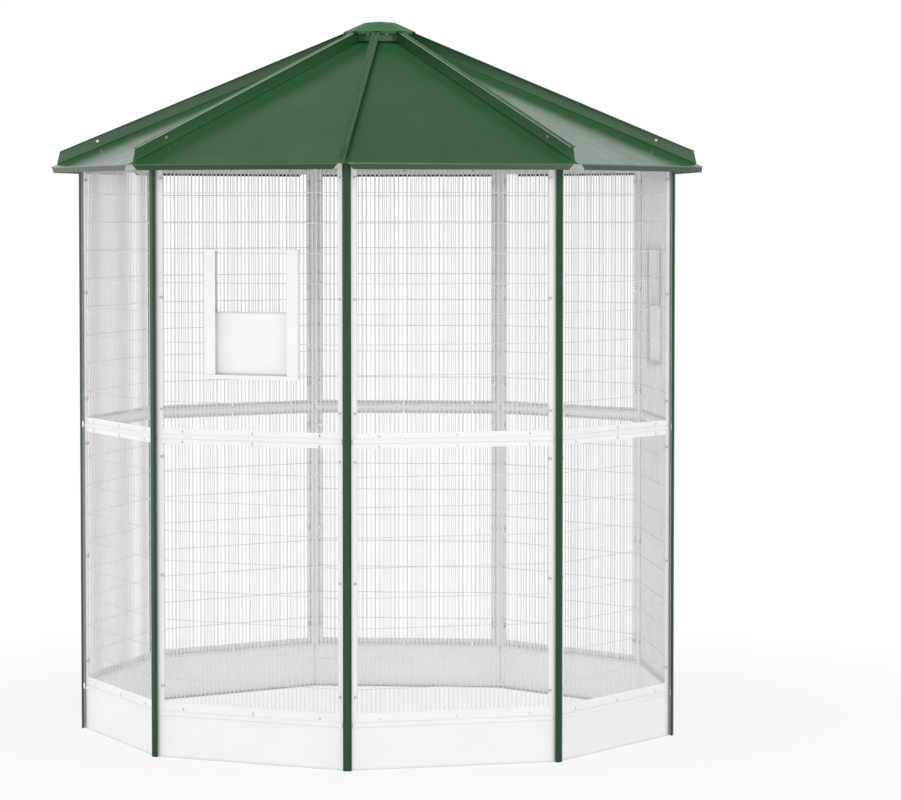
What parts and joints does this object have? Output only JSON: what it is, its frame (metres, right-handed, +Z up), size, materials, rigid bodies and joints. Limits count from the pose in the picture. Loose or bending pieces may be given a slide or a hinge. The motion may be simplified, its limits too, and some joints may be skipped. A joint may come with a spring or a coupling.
{
  "type": "flight bird cage",
  "caption": "Polygonal walk-around flight cage for small birds: sheet-framed wire wall panels in tiers, slide-on corner posts, folded standing-seam roof with cap, lift-up doors.",
  "frame": {"origin": "middle of the outline's box, on the floor that the skirts stand on", "axes": "+Z up; the wall with the front door faces -Y, and the wall with the side door faces 120 degrees round from it, towards +X and +Y"},
  "size_m": [1.8468, 1.8188, 2.0174],
  "materials": {
    "green_paint": "semi-gloss dark green enamel on folded sheet",
    "white_paint": "semi-gloss white powder coat on folded sheet",
    "white_wire": "white powder coat on welded round wire",
    "zinc": "bright zinc plate"
  },
  "bodies": {
    "cage": {"base_skirt_1": "white_paint", "base_skirt_2": "white_paint", "base_skirt_3": "white_paint", "base_skirt_4": "white_paint", "base_skirt_5": "white_paint", "base_skirt_6": "white_paint", "base_skirt_7": "white_paint", "base_skirt_8": "white_paint", "base_skirt_9": "white_paint", "lower_panel_1": "white_paint", "lower_panel_2": "white_paint", "lower_panel_3": "white_paint", "lower_panel_4": "white_paint", "lower_panel_5": "white_paint", "lower_panel_6": "white_paint", "lower_panel_7": "white_paint", "lower_panel_8": "white_paint", "lower_panel_9": "white_paint", "upper_panel_1": "white_paint", "upper_panel_2": "white_paint", "upper_panel_3": "white_paint", "upper_panel_4": "white_paint", "upper_panel_5": "white_paint", "upper_panel_6": "white_paint", "upper_panel_7": "white_paint", "upper_panel_8": "white_paint", "upper_panel_9": "white_paint", "corner_post_1": "green_paint", "corner_post_2": "green_paint", "corner_post_3": "green_paint", "corner_post_4": "green_paint", "corner_post_5": "green_paint", "corner_post_6": "green_paint", "corner_post_7": "green_paint", "corner_post_8": "green_paint", "corner_post_9": "green_paint", "roof_sheet_1": "green_paint", "roof_sheet_2": "green_paint", "roof_sheet_3": "green_paint", "roof_sheet_4": "green_paint", "roof_sheet_5": "green_paint", "roof_sheet_6": "green_paint", "roof_sheet_7": "green_paint", "roof_sheet_8": "green_paint", "roof_sheet_9": "green_paint", "lower_mesh": "white_wire", "upper_mesh": "white_wire", "front_door_mesh": "white_wire", "side_door_mesh": "white_wire", "mesh_screws": "zinc", "roof_hub": "green_paint", "hub_screws": "zinc", "roof_cap": "green_paint", "cap_bolt": "zinc", "seam_bolts": "zinc", "seam_nuts": "zinc", "front_door_guides": "white_paint", "side_door_guides": "white_paint"},
    "front_door": {"front_door_plate": "white_paint"},
    "side_door": {"side_door_plate": "white_paint"}
  },
  "joints": [
    {"name": "front_door_slide", "type": "slide", "parent": "cage", "child": "front_door", "axis": [0, 0, 1], "range_m": [0, 0.16]},
    {"name": "side_door_slide", "type": "slide", "parent": "cage", "child": "side_door", "axis": [0, 0, 1], "range_m": [0, 0.16]}
  ]
}
